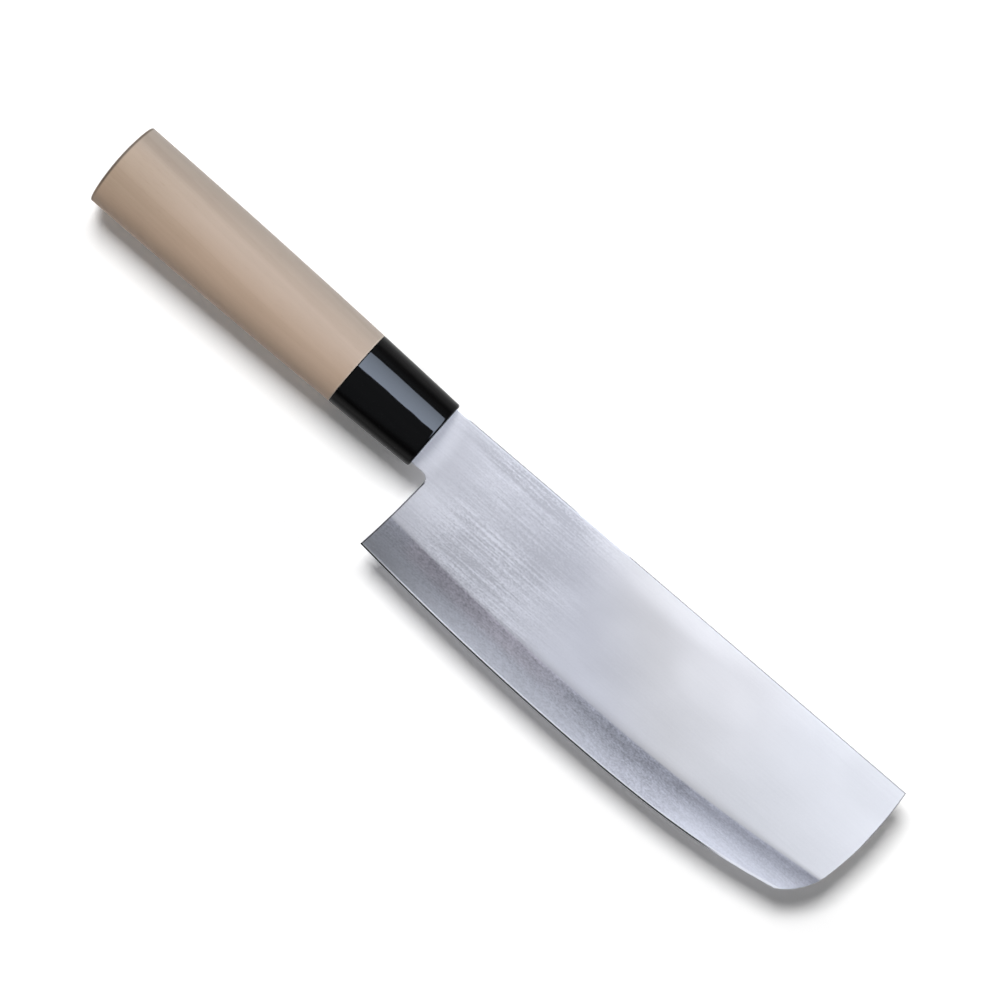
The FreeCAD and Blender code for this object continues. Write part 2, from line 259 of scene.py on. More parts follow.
def blade_grid(to_edge):
    """Points of a grid over the blade and its tang, rows from the spine down, columns from tang to tip.

    The rows follow lines that run along the blade: the spine, the level of the notch, the shoulder from above
    and from below, the clad line and, for the core, the honed strip and the edge. The columns run from the
    choil to the front. Returns x, y and the cells that are steel.
    """
    rim_count = len(RIM_STEPS)
    tang_sides = (0.5 - TANG_ROOT / (2 * NECK_TOP), 0.5 + TANG_ROOT / (2 * NECK_TOP))
    inner = np.array([0.05, 0.12, tang_sides[0], 0.3, 0.4, 0.5, 0.6, 0.7, tang_sides[1], 0.88, 0.95])
    first_tang, last_tang = np.searchsorted(inner, tang_sides) + rim_count
    blocks = [
        (0, np.zeros(rim_count), -RIM_STEPS),
        (0, inner, 0 * inner),
        (0, np.ones(rim_count), RIM_STEPS[::-1]),
    ]
    counts = CLAD_ROWS + (EDGE_ROWS if to_edge else ())
    for step, count in enumerate(counts):
        blocks.append((1 + step, np.arange(1, count + 1) / count, np.zeros(count)))
    level = np.concatenate([np.full(len(way), step) for step, way, shift in blocks])
    way = np.concatenate([block[1] for block in blocks])[:, None]
    shift = np.concatenate([block[2] for block in blocks])[:, None]
    rows = np.arange(len(level))
    neck_rows = 2 * rim_count + len(inner)

    def heights(x, notch_line):
        """Height of every row at the places x."""
        edge = edge_y(x)
        shoulder = edge + bevel_height(x)
        lines = np.stack([
            spine_y(x), notch_line, shoulder + ABOVE_SHOULDER, shoulder - BELOW_SHOULDER,
            edge + clad_height(x), edge + HONED_HEIGHT, edge,
        ])
        return lines[level, rows] * (1 - way) + lines[level + 1, rows] * way + shift

    inside = np.linspace(0, 1, COLUMN_COUNT)[1:-1]
    across = np.concatenate([np.zeros(rim_count), inside, np.ones(rim_count)])
    offset = np.concatenate([RIM_STEPS, 0 * inside, -RIM_STEPS[::-1]])
    body_x = np.broadcast_to(CHOIL_X + (FOREMOST_X - CHOIL_X) * across, (len(rows), len(across)))
    for _ in range(SETTLING):
        body_y = heights(body_x, np.full_like(body_x, NOTCH[1]))
        body_x = choil_x(body_y) * (1 - across) + front_x(body_y) * across + offset

    turn = np.radians(np.arange(10, 90, 10))
    neck_x = np.concatenate([[0, 0.4, 1, 2, 3, 4, NOTCH[0]], NOTCH[0] + NOTCH_RADIUS * np.sin(turn)])
    neck_x = np.broadcast_to(neck_x, (len(rows), len(neck_x)))
    neck_y = heights(neck_x, neck_low_y(neck_x))

    tang_x = np.array([-TANG_LENGTH, -TANG_LENGTH / 2, -0.02])
    half = TANG_ROOT + (TANG_END - TANG_ROOT) * -tang_x / TANG_LENGTH
    tang_y = neck_y[:, :1] * half / TANG_ROOT
    tang_x = np.broadcast_to(tang_x, tang_y.shape)

    x = np.concatenate([tang_x, neck_x, body_x], axis=1)
    y = np.concatenate([tang_y, neck_y, body_y], axis=1)
    tang_columns = tang_x.shape[1]
    first_body = tang_columns + neck_x.shape[1]
    held = np.zeros((x.shape[0] - 1, x.shape[1] - 1), bool)
    held[first_tang:last_tang, :tang_columns] = True
    held[:neck_rows - 1, tang_columns:first_body] = True
    held[:, first_body:] = True
    return x, y, held


def plate(x, y, top, bottom, held):
    """Closed body between two height fields on one grid, with walls round the cells that are steel.

    Where the two heights meet, the faces share their points. Returns points, groups of faces and the number
    of each point, counted over the upper grid and then the lower one.
    """
    size = x.size
    index = np.arange(size).reshape(x.shape)
    corners = (index[1:, :-1], index[1:, 1:], index[:-1, 1:], index[:-1, :-1])
    upper = np.stack([corner[held] for corner in corners], axis=1)
    apart = (top - bottom).ravel() > TOUCHING
    below = np.where(apart, np.arange(size) + size, np.arange(size))

    start = upper.ravel()
    end = np.roll(upper, -1, axis=1).ravel()
    rim = ~np.isin(start * size + end, end * size + start)
    start = start[rim]
    end = end[rim]
    walls = np.stack([start, below[start], below[end], end], axis=1)
    both = apart[start] & apart[end]
    first = apart[start] & ~apart[end]
    last = ~apart[start] & apart[end]

    points = np.concatenate([
        np.stack([x.ravel(), y.ravel(), top.ravel()], axis=1),
        np.stack([x.ravel(), y.ravel(), bottom.ravel()], axis=1),
    ])
    quads = np.concatenate([upper, below[upper][:, ::-1], walls[both]])
    triangles = np.concatenate([walls[first][:, [0, 1, 3]], walls[last][:, [0, 2, 3]]])
    used = np.unique(np.concatenate([quads.ravel(), triangles.ravel()]))
    renumber = np.zeros(2 * size, int)
    renumber[used] = np.arange(len(used))
    return points[used], [renumber[quads], renumber[triangles]], used


def eased(x, y, height, floor):
    """Height of a face with its rim rounded off in a quarter circle, but never to less than its floor."""
    reach = np.clip(RIM_EASE - rim_distance(x, y), 0, RIM_EASE)
    drop = RIM_EASE - np.sqrt(RIM_EASE ** 2 - reach ** 2)
    return height - np.minimum(drop, EASED_SHARE * np.maximum(height - floor, 0))


def blade_attributes(x, y, used):
    """Height over the edge, distance from the face's rim and share of the ground face's height, at each
    point. Points on the underside of a layer count as far from the rim."""
    places = used % x.size
    rise = (y - edge_y(x)).ravel()[places]
    share = rise / bevel_height(x).ravel()[places]
    rim = np.where(used < x.size, rim_distance(x, y).ravel()[places], FAR_FROM_RIM)
    return {"rise": rise, "rim": rim, "ground": share}


def cladding_shape():
    """Outer layer of the right side: from the core's face out to the flat, the ground face and the tang."""
    x, y, held = blade_grid(False)
    top = eased(x, y, face_height(x, y), HALF_CORE)
    top = np.where(x < 0, HALF_TANG, np.maximum(top, HALF_CORE))
    top[-1] = HALF_CORE
    points, groups, used = plate(x, y, top, np.full_like(top, HALF_CORE), held)
    return points, groups, blade_attributes(x, y, used)


def core_shape():
    """Middle layer: flat between the claddings, ground to a point at the edge."""
    x, y, held = blade_grid(True)
    top = np.minimum(face_height(x, y), HALF_CORE)
    top[-1] = 0
    points, groups, used = plate(x, y, top, -top, held)
    return points, groups, blade_attributes(x, y, used)


# Handle and ferrule

AROUND = np.linspace(0, 2 * math.pi, 160, endpoint=False)


def oval(x, inset):
    """Ring of the tapered, swelling oval at x, drawn in by the inset: cosine along Y, sine along Z."""
    x = np.broadcast_to(x, AROUND.shape)
    way = -x / HANDLE_LENGTH
    more = 4 * HANDLE_SWELL * way * (1 - way) - inset - HAIR
    half_y, half_z = (front + (butt - front) * way + more for front, butt in zip(FRONT_HALF, BUTT_HALF))
    return np.stack([x, half_y * np.cos(AROUND), half_z * np.sin(AROUND)], axis=1)


def bar(x, clearance):
    """Ring of a rectangle round the tang at x: rays from the middle, each as long as the sides allow."""
    half_y = TANG_ROOT + (TANG_END - TANG_ROOT) * -x / TANG_LENGTH + clearance
    half_z = HALF_TANG + clearance
    along_y = np.cos(AROUND) * FRONT_HALF[0]
    along_z = np.sin(AROUND) * FRONT_HALF[1]
    scale = 1 / np.maximum(np.abs(along_y) / half_y, np.abs(along_z) / half_z)
    return np.stack([np.full_like(AROUND, x), along_y * scale, along_z * scale], axis=1)


def between(first, last, count):
    """Rings from one to another in equal steps, without the first."""
    return [first + (last - first) * step / count for step in range(1, count + 1)]


def tube(rings, closed):
    """Surface through a list of rings, closed round each ring. It either joins its last ring to its first, or
    ends in a fan to the middle of each end ring. Returns points and groups of faces."""
    grid = np.stack(rings)
    count, around = grid.shape[:2]
    index = np.arange(count * around).reshape(count, around)
    after = np.roll(index, -1, axis=0) if closed else index[1:]
    here = index if closed else index[:-1]
    corners = [here, np.roll(here, -1, axis=1), np.roll(after, -1, axis=1), after]
    quads = np.stack(corners, axis=2).reshape(-1, 4)
    points = grid.reshape(-1, 3)
    if closed:
        return points, [quads]
    first, last = len(points), len(points) + 1
    points = np.concatenate([points, grid[0].mean(axis=0)[None], grid[-1].mean(axis=0)[None]])
    start, end = index[0], index[-1]
    near_fan = np.stack([np.full(around, first), np.roll(start, -1), start], axis=1)
    far_fan = np.stack([np.full(around, last), end, np.roll(end, -1)], axis=1)
    return points, [quads, near_fan, far_fan]


def broken_edge(side):
    """Rings over the broken edge at the seam, out to the full oval on that side of it."""
    rounding = 0.3 * SEAM_EASE
    return [
        oval(-FERRULE_LENGTH + side * rounding, rounding),
        oval(-FERRULE_LENGTH + side * SEAM_EASE, 0),
        oval(-FERRULE_LENGTH + side * 1.5 * SEAM_EASE, 0),
    ]


def ferrule_shape():
    """Cap: outside from the seam to the eased front rim, front face to the slot, then slot and cavity back to
    the seam."""
    seam = -FERRULE_LENGTH
    turns = np.radians(np.linspace(0, 90, 9))
    rings = [oval(seam, SEAM_EASE)] + broken_edge(1)
    rings += [oval(x, 0) for x in np.linspace(rings[-1][0, 0], -1.2 * FERRULE_EASE, 25)[1:]]
    rings += [
        oval(FERRULE_EASE * (math.sin(turn) - 1), FERRULE_EASE * (1 - math.cos(turn))) for turn in turns
    ]
    rings += between(rings[-1], bar(0, SLOT_CLEARANCE), 5)
    rings += between(rings[-1], bar(-FERRULE_FRONT_WALL, SLOT_CLEARANCE), 2)
    rings += between(rings[-1], oval(-FERRULE_FRONT_WALL, FERRULE_WALL), 3)
    rings += between(rings[-1], oval(seam, FERRULE_WALL), 4)
    return tube(rings, True)


def crown(ring):
    """How far the butt's end face lies ahead of its middle at a ring's points, on a sphere's cap."""
    return SWELL_RADIUS - np.sqrt(SWELL_RADIUS ** 2 - ring[:, 1] ** 2 - ring[:, 2] ** 2)


def butt_ring(inset, lift):
    """Ring on the butt's swelling end face, or the lift ahead of it. Its place and width settle in turn."""
    ring = oval(-HANDLE_LENGTH, inset)
    for _ in range(3):
        ring = oval(crown(ring) - HANDLE_LENGTH + HAIR + lift, inset)
    return ring


def handle_shape():
    """Wooden handle: mortise from its blind end forward, tenon, seam face, body, eased rim and swelling
    butt."""
    seam = -FERRULE_LENGTH
    tenon_end = -FERRULE_FRONT_WALL - GLUE_FILM
    mortise_end = -TANG_LENGTH - MORTISE_END_GAP
    tenon_inset = FERRULE_WALL + GLUE_FILM
    rings = [bar(mortise_end, MORTISE_CLEARANCE)]
    rings += between(rings[-1], bar(tenon_end, MORTISE_CLEARANCE), 6)
    rings += between(rings[-1], oval(tenon_end, tenon_inset), 3)
    rings += between(rings[-1], oval(seam, tenon_inset), 4)
    rings += between(rings[-1], oval(seam, SEAM_EASE), 2)
    rings += broken_edge(-1)

    turns = np.radians(np.linspace(0, 90, 11))
    rim = [butt_ring(BUTT_EASE * (1 - math.cos(turn)), BUTT_EASE * (1 - math.sin(turn))) for turn in turns]
    start = rings[-1][0, 0]
    rings += [oval(start + (rim[0][:, 0] - start) * way, 0) for way in np.linspace(0, 1, 61)[1:]]
    rings += rim[1:]
    for share in np.linspace(0.92, 0.04, 12):
        ring = rim[-1] * [1, share, share]
        ring[:, 0] = crown(ring) - HANDLE_LENGTH + HAIR
        rings.append(ring)
    return tube(rings, False)


# Finishes

class Wire:
    """A node's output in an expression: arithmetic on it adds Math nodes."""

    def __init__(self, finish, socket):
        self.finish = finish
        self.socket = socket

    def math(self, operation, *values):
        """Math node with these values."""
        return self.finish.node("ShaderNodeMath", {"operation": operation}, dict(enumerate(values)))

    def __add__(self, other):
        return self.math("ADD", self, other)

    def __radd__(self, other):
        return self.math("ADD", other, self)

    def __sub__(self, other):
        return self.math("SUBTRACT", self, other)

    def __rsub__(self, other):
        return self.math("SUBTRACT", other, self)

    def __mul__(self, other):
        return self.math("MULTIPLY", self, other)

    def __rmul__(self, other):
        return self.math("MULTIPLY", other, self)

    def __truediv__(self, other):
        return self.math("DIVIDE", self, other)

    def __pow__(self, other):
        return self.math("POWER", self, other)


class Finish:
    """Nodes of one material or of the world."""

    def __init__(self, owner):
        owner.use_nodes = True
        self.owner = owner
        self.tree = owner.node_tree
        self.tree.nodes.clear()

    def node(self, kind, settings, sockets, output=0):
        """Any node: its type, its settings, then the values or links of its sockets. Returns one output."""
        made = self.tree.nodes.new(kind)
        for name, value in settings.items():
            setattr(made, name, value)
        for key, value in sockets.items():
            if isinstance(value, Wire):
                self.tree.links.new(value.socket, made.inputs[key])
            else:
                made.inputs[key].default_value = value
        return Wire(self, made.outputs[output]) if made.outputs else None

    def place(self):
        """Place on the piece, in metres."""
        return self.node("ShaderNodeTexCoord", {}, {}, "Object")

    def part(self, vector, letter):
        """X, Y or Z of a vector."""
        return self.node("ShaderNodeSeparateXYZ", {}, {0: vector}, letter)

    def combine(self, x, y, z):
        """Vector of three values."""
        return self.node("ShaderNodeCombineXYZ", {}, {0: x, 1: y, 2: z})

    def stretched(self, vector, size):
        """Vector divided by a size along each axis."""
        return self.node("ShaderNodeVectorMath", {"operation": "DIVIDE"}, {0: vector, 1: size})

    def noise(self, vector, size, detail=2.0, roughness=0.5):
        """Cloudy noise from 0 to 1 whose blots are about this size along each axis."""
        sockets = {"Vector": self.stretched(vector, size), "Scale": 1.0}
        sockets.update({"Detail": detail, "Roughness": roughness})
        return self.node("ShaderNodeTexNoise", {}, sockets)

    def ramp(self, value, low, high, at_low=0.0, at_high=1.0):
        """Smooth change from one value to another while the input goes from low to high."""
        settings = {"interpolation_type": "SMOOTHSTEP", "clamp": True}
        return self.node("ShaderNodeMapRange", settings, {0: value, 1: low, 2: high, 3: at_low, 4: at_high})

    def band(self, value, start, full, fading, end):
        """1 in a band with soft borders: it rises from start to full, and falls from fading to end."""
        return self.ramp(value, start, full) * self.ramp(value, end, fading)

    def mix(self, factor, first, second):
        """Colour between two colours."""
        return self.node("ShaderNodeMix", {"data_type": "RGBA"}, {0: factor, 6: first, 7: second}, 2)

    def attribute(self, name):
        """Value stored on the piece's points."""
        return self.node("ShaderNodeAttribute", {"attribute_name": name}, {}, "Fac")

    def bump(self, height, distance):
        """Normal over small relief whose height goes from 0 to 1 over the distance."""
        return self.node("ShaderNodeBump", {}, {"Strength": 1.0, "Distance": distance, "Height": height})

    def surface(self, sockets):
        """Main shader, and its link to the output."""
        shader = self.node("ShaderNodeBsdfPrincipled", {}, sockets)
        self.node("ShaderNodeOutputMaterial", {}, {0: shader})
        return self.owner


def rgb(red, green, blue):
    """Colour as written, in linear light."""
    return (red, green, blue, 1.0)


FLAT_TONE_PATCHES = (                # soft ovals where the flat is brighter or darker: middle, reach and tone
    # painted light: lifts the neck where the ferrule's shade falls on it
    ((0, -3), (9, 16), 0.5),
    ((12, -15.5), (14, 9), 0.28),
    ((30, 7.2), (26, 3.2), -0.5),
    ((46, -1), (22, 14), -0.34),
    ((34, -19), (14, 9), -0.16),
    ((80, -8), (21, 16), -0.24),
    # painted highlight along the spine
    ((86, 10.5), (36, 8), 0.36),
    ((108, -2), (18, 9), 0.14),
    ((164, 8), (18, 10), -0.14),
)
NOTCH_CORNER_SHADE = ((6.2, -12.3), (1.1, 1.1))     # middle and reach of the painted shade in the corner where the choil begins


class Steel(Finish):
    """Nodes of a steel finish and what they share: the place on the blade's side, in millimetres in the
    drawing frame, the values stored on the points, and noises from -0.5 to 0.5."""

    def __init__(self, name):
        super().__init__(bpy.data.materials.new(name))
        place = self.place()
        self.along = (self.part(place, "X") - ORIGIN[0]) / MM
        self.across = (self.part(place, "Y") - ORIGIN[1]) / MM
        self.ground = self.attribute("ground")
        self.rise = self.attribute("rise")
        self.rim = self.attribute("rim")
        self.fine = self.noise(place, (0.010, 0.00060, 0.00060), 3.0, 0.6) - 0.5
        self.long = self.noise(place, (0.032, 0.00065, 0.00065), 2.0) - 0.5
        self.grain = self.noise(place, (0.0007, 0.00045, 0.00045), 1.0) - 0.5
        self.blots = self.noise(place, (0.0022, 0.0012, 0.0012), 2.0) - 0.5
        self.cloud = self.noise(place, (0.030, 0.018, 0.018), 2.0) - 0.5
        self.streak = self.fine * 1.7 + self.long * 1.5 + self.grain * 1.5
        self.low_down = self.ramp(self.ground, 1.0, -0.05)
        self.strip = self.ramp(self.rise, 0.85, 0.60)

    def soft_oval(self, middle, reach):
        """1 in the middle of an oval on the blade's side, falling softly to 0 at its reach."""
        x = (self.along - middle[0]) / reach[0]
        y = (self.across - middle[1]) / reach[1]
        return self.ramp(x * x + y * y, 1.0, 0.0)


def flat_colour(steel):
    """The flat: brush streaks at the heel, polished smoother to the tip, bluish behind and neutral ahead."""
    along, across = steel.along, steel.across
    brushed = steel.ramp(along, 8, 24, 0.25, 1.0) * steel.ramp(along, 40, 70, 1.0, 0.07)
    brushed = brushed * (1.0 - steel.band(across, -13, -6, 4, 7) * 0.4)
    tone = 0.5 + steel.streak * brushed + steel.cloud * steel.ramp(along, 45, 110, 0.9, 0.4)
    # tone patches, among them painted light at the neck and a painted highlight along the spine
    for middle, reach, change in FLAT_TONE_PATCHES:
        tone = tone + steel.soft_oval(middle, reach) * change
    heel = steel.mix(tone, rgb(0.61, 0.61, 0.647), rgb(0.955, 0.955, 1.0))
    middle_part = steel.mix(tone, rgb(0.630, 0.614, 0.607), rgb(0.965, 0.945, 0.934))
    tip = steel.mix(tone, rgb(0.62, 0.614, 0.612), rgb(0.955, 0.945, 0.942))
    before_tip = steel.ramp(along, 140, 112) * steel.ramp(across, -24, 6, 0.5, 1.0)
    return steel.mix(steel.ramp(along + across, 50, 88), heel, steel.mix(before_tip, tip, middle_part))


def ground_colour(steel):
    """The ground face: mottled, with painted lighter and darker bands along it, warmer below the shoulder
    behind the middle, and paler down to the edge.
    """
    along, ground = steel.along, steel.ground
    mottled = steel.ramp(along, 8, 45, 0.5, 1.0) * steel.ramp(along, 135, 105, 0.35, 1.0)
    # painted light and shade: a lighter band ahead of the heel and darker bands high up at the heel and
    # before the tip, standing in for how the ground face's reflection changes along the blade
    lift = steel.band(along, 38, 54, 70, 88) * 0.22
    lift = lift - steel.band(along, 4, 18, 32, 50) * steel.ramp(ground, 0.15, 0.8) * 0.17
    lift = lift - steel.band(along, 84, 103, 114, 136) * 0.16
    tone = 0.5 + lift + (steel.blots + steel.grain) * mottled * 0.83 + steel.streak * 0.3
    warm = steel.band(along, 11, 19, 55, 86) * steel.ramp(ground, 0.40, 0.70)
    dark = steel.mix(warm, rgb(0.400, 0.405, 0.46), rgb(0.423, 0.405, 0.46))
    light = steel.mix(warm, rgb(0.90, 0.91, 1.0), rgb(0.95, 0.91, 1.0))
    paler = steel.ramp(along, 84, 106, 0.62, 0.32) + steel.ramp(along, 114, 130, 0.0, 0.25)
    return steel.mix(steel.low_down * paler, steel.mix(tone, dark, light), rgb(0.90, 0.93, 1.0))


def painted_rim_shade(steel):
    """Painted shade: thin dark lines where the edge, the spine, the front and the choil are broken, and in
    the notch's corner."""
    along, across, rim = steel.along, steel.across, steel.rim
    edge_shade_line = steel.ramp(steel.rise, 0.52, 0.28) * steel.ramp(along, 131, 143, 1.0, 0.0)
    rim_kept = (0.85 - steel.band(along, 42, 48, 61, 67) * 0.58) * steel.ramp(across, -12, -2)
    rim_shade_line = steel.ramp(rim, 0.33, 0.14) * rim_kept * steel.ramp(along, 3, 6)
    choil_kept = steel.ramp(along, 9.0, 8.0) * steel.ramp(across, -11.2, -13.5) * 0.85
    choil_shade_line = steel.ramp(rim, 0.50, 0.25) * choil_kept
    # painted shade in the notch's corner
    corner = steel.soft_oval(*NOTCH_CORNER_SHADE) * steel.ramp(rim, 0.6, 0.3) * 0.6
    return edge_shade_line + rim_shade_line + choil_shade_line + corner


def steel_finish(name):
    """Brushed steel: flat and ground face, a bright honed strip, a painted highlight along the spine's rim
    and thin dark lines of painted shade. The gloss softens down the ground face and on the honed strip."""
    steel = Steel(name)
    along, across = steel.along, steel.across
    on_ground = steel.ramp(steel.ground, 1.02, 0.95)
    colour = steel.mix(on_ground, flat_colour(steel), ground_colour(steel))
    colour = steel.mix(steel.strip * 0.8, colour, rgb(0.95, 0.96, 1.0))
    # painted highlight: a paler strip along the spine's rounded rim
    painted_rim_glint = steel.ramp(steel.rim, 0.95, 0.55) * steel.ramp(across, 0, 5)
    painted_rim_glint = painted_rim_glint * steel.ramp(along, 44, 70, 0.7, 0.25) * steel.ramp(along, 156, 140)
    colour = steel.mix(painted_rim_glint, colour, rgb(0.96, 0.965, 1.0))
    # painted shade: thin dark lines along the rims and in the notch's corner
    colour = steel.mix(painted_rim_shade(steel), colour, rgb(0.05, 0.05, 0.055))
    opening = steel.ramp(along, 5, 47, 0.0, 0.115) + steel.ramp(along, 65, 135, 0.0, 0.18)
    honed = steel.strip * steel.ramp(along, 6, 26, 0.4, 1.0) * steel.ramp(along, 15, 125, 0.26, 0.18)
    return steel.surface({
        "Base Color": colour,
        "Metallic": 1.0,
        "Roughness": 0.279 + steel.low_down * opening + honed,
        "Normal": steel.bump(steel.fine * 0.6 + steel.long, 0.0000012),
    })


SEAM_X = ORIGIN[0] - FERRULE_LENGTH * MM
BUTT_X = ORIGIN[0] - HANDLE_LENGTH * MM
TANNED_REACH = 0.045      # the wood is tanned this far from the butt


def wood_finish():
    """Pale close-grained wood: faint growth lines a little across the handle and fine pores. Painted shade
    makes it greyer along the back. It is tanned near the butt, dark on the end grain, whose dark also serves
    as painted shade on the butt's rim, and pale on the broken edge at the seam."""
    finish = Finish(bpy.data.materials.new("pale_wood"))
    place = finish.place()
    x, y, z = (finish.part(place, letter) for letter in "XYZ")
    from_mid = y - ORIGIN[1]
    from_plane = z - ORIGIN[2]
    sway = finish.noise(place, (0.090, 0.016, 0.016), 2.0)
    across = y + x * 0.056 + (sway - 0.5) * 0.006
    rings = finish.combine(x * 0.02, across, z)
    lines = finish.noise(rings, (0.020, 0.0016, 0.0030), 3.0, 0.6)
    thin = finish.ramp(finish.noise(rings, (0.010, 0.0034, 0.0060), 1.0), 0.56, 0.63)
    pores = finish.ramp(finish.noise(place, (0.0028, 0.00022, 0.00022), 1.0), 0.62, 0.74)
    cloud = finish.noise(place, (0.030, 0.010, 0.010), 2.0)

    forward = finish.ramp(x, cad_low.x, SEAM_X)
    tone = 0.42 + (lines - 0.5) * 0.5 + (cloud - 0.5) * 0.35 + forward * 0.22
    tone = tone - thin * 0.16 - pores * 0.20
    warmth = finish.ramp(from_mid, 0.010, -0.011)
    dark = finish.mix(warmth, rgb(0.41, 0.325, 0.262), rgb(0.53, 0.375, 0.262))
    light = finish.mix(warmth, rgb(0.54, 0.445, 0.382), rgb(0.69, 0.52, 0.40))
    colour = finish.mix(tone, dark, light)

    # painted shade: the back of the handle is greyer and darker
    back_shade_wood = finish.mix(tone, rgb(0.25, 0.222, 0.192), rgb(0.36, 0.315, 0.275))
    colour = finish.mix(finish.ramp(from_mid, 0.005, 0.0138) * 0.75, colour, back_shade_wood)
    tan_wood = finish.mix(tone, rgb(0.38, 0.285, 0.205), rgb(0.50, 0.385, 0.29))
    tanned = finish.ramp(x, cad_low.x + TANNED_REACH, cad_low.x)
    tanned = tanned * finish.band(from_mid, -0.011, -0.004, 0.003, 0.009)
    colour = finish.mix(tanned * 0.55, colour, tan_wood)
    seam = finish.ramp(x, SEAM_X - 0.0005, SEAM_X - 0.0002)
    colour = finish.mix(seam * 0.45, colour, rgb(0.78, 0.70, 0.62))

    # dark end: the end grain's own darker colour, also standing in as painted shade along the butt's rim; the
    # darkening fades on the lower side, away from the end face
    dome = (from_mid * from_mid + from_plane * from_plane) / (2 * SWELL_RADIUS * MM)
    depth = x - BUTT_X - dome
    lower_fade = finish.ramp(depth, 0.00004, 0.00020) * finish.ramp(from_mid, -0.006, -0.0125)
    end = finish.ramp(depth, 0.00095, 0.00050) * (0.95 - lower_fade * 0.45)
    end_grain_and_shade = finish.mix(lines, rgb(0.085, 0.065, 0.051), rgb(0.19, 0.145, 0.11))
    return finish.surface({
        "Base Color": finish.mix(end, colour, end_grain_and_shade),
        "Roughness": 0.58 + (lines - 0.5) * 0.15 + pores * 0.1,
        "IOR": 1.45,
        "Specular IOR Level": 0.35,
        "Normal": finish.bump(lines * 0.5 - pores, 0.00002),
    })


POLISHED_OUT = 0.0079     # the ferrule is fully polished this far out of the blade's plane
DULL_OUT = 0.0067         # and dull up to here


def ferrule_finish():
    """Black: polished on its two broad faces, duller at the sides and on its rims, with faint streaks along
    it and a very slightly wavy surface."""
    finish = Finish(bpy.data.materials.new("polished_black"))
    place = finish.place()
    streak = finish.noise(place, (0.012, 0.0012, 0.0012), 3.0)
    wave = finish.noise(place, (0.009, 0.005, 0.005), 1.0)
    scuff = finish.noise(place, (0.0040, 0.00025, 0.00025), 2.0)
    colour = finish.mix(streak, rgb(0.0020, 0.0020, 0.0022), rgb(0.0050, 0.0048, 0.0050))
    relief = finish.bump(wave, 0.00006)
    polished = finish.node("ShaderNodeBsdfPrincipled", {}, {
        "Base Color": colour,
        "Roughness": 0.045 + finish.ramp(scuff, 0.5, 0.8) * 0.05,
        "IOR": 1.6,
        "Specular IOR Level": 0.9,
        "Specular Tint": rgb(0.83, 0.91, 1.0),
        "Normal": relief,
    })
    dull = finish.node("ShaderNodeBsdfPrincipled", {}, {
        "Base Color": colour,
        "Roughness": 0.16 + finish.ramp(scuff, 0.5, 0.8) * 0.10,
        "IOR": 1.5,
        "Specular IOR Level": 0.04,
        "Normal": relief,
    })
    out = finish.part(place, "Z") - ORIGIN[2]
    sides = finish.ramp(out * out, POLISHED_OUT ** 2, DULL_OUT ** 2)
    x = finish.part(place, "X")
    rims = finish.ramp(x, SEAM_X + 0.0004, SEAM_X + 0.0002)
    rims = rims + finish.ramp(x, ORIGIN[0] - 0.0006, ORIGIN[0] - 0.0004)
    both = finish.node("ShaderNodeMixShader", {}, {0: sides + (1.0 - sides) * rims, 1: polished, 2: dull})
    finish.node("ShaderNodeOutputMaterial", {}, {0: both})
    return finish.owner


def resin_finish(name, dark, light, roughness):
    """Set glue or resin: cloudy, a little uneven, with small bubbles."""
    finish = Finish(bpy.data.materials.new(name))
    place = finish.place()
    cloud = finish.noise(place, (0.004, 0.002, 0.002), 3.0)
    bubbles = finish.ramp(finish.noise(place, (0.0005, 0.0005, 0.0005), 1.0), 0.66, 0.74)
    return finish.surface({
        "Base Color": finish.mix(cloud, rgb(*dark), rgb(*light)),
        "Roughness": roughness + (cloud - 0.5) * 0.2,
        "Normal": finish.bump(cloud * 0.5 - bubbles, 0.00006),
    })


# Pieces

BLADE_SHARP = 30          # faces that meet at more degrees than this keep a sharp edge
CORE_SHARP = 2.5
HANDLE_SHARP = 35


def make_piece(name, points, groups, node, material, sharp, attributes):
    """Mesh from points in the drawing frame, which stands for a CAD node and takes a slot's finish."""
    mesh = bpy.data.meshes.new(name)
    faces = sum((group.tolist() for group in groups), [])
    mesh.from_pydata((points * MM + ORIGIN).tolist(), [], faces)
    mesh.update()
    mesh.shade_smooth()
    mesh.set_sharp_from_angle(angle=math.radians(sharp))
    for label, values in attributes.items():
        mesh.attributes.new(label, "FLOAT", "POINT").data.foreach_set("value", values.astype(np.float32))
    mesh.materials.append(material)
    piece = bpy.data.objects.new(name, mesh)
    bpy.context.scene.collection.objects.link(piece)
    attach(piece, "root")
    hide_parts(node)


def make_blade():
    """The two claddings, one the mirror image of the other, and the core between them."""
    steel = steel_finish("brushed_cladding")
    points, groups, values = cladding_shape()
    make_piece("right_face", points, groups, "right_cladding", steel, BLADE_SHARP, values)
    points = points * [1, 1, -1]
    groups = [group[:, ::-1] for group in groups]
    make_piece("left_face", points, groups, "left_cladding", steel, BLADE_SHARP, values)
    steel = steel_finish("brushed_core")
    points, groups, values = core_shape()
    make_piece("hard_core", points, groups, "core_steel", steel, CORE_SHARP, values)


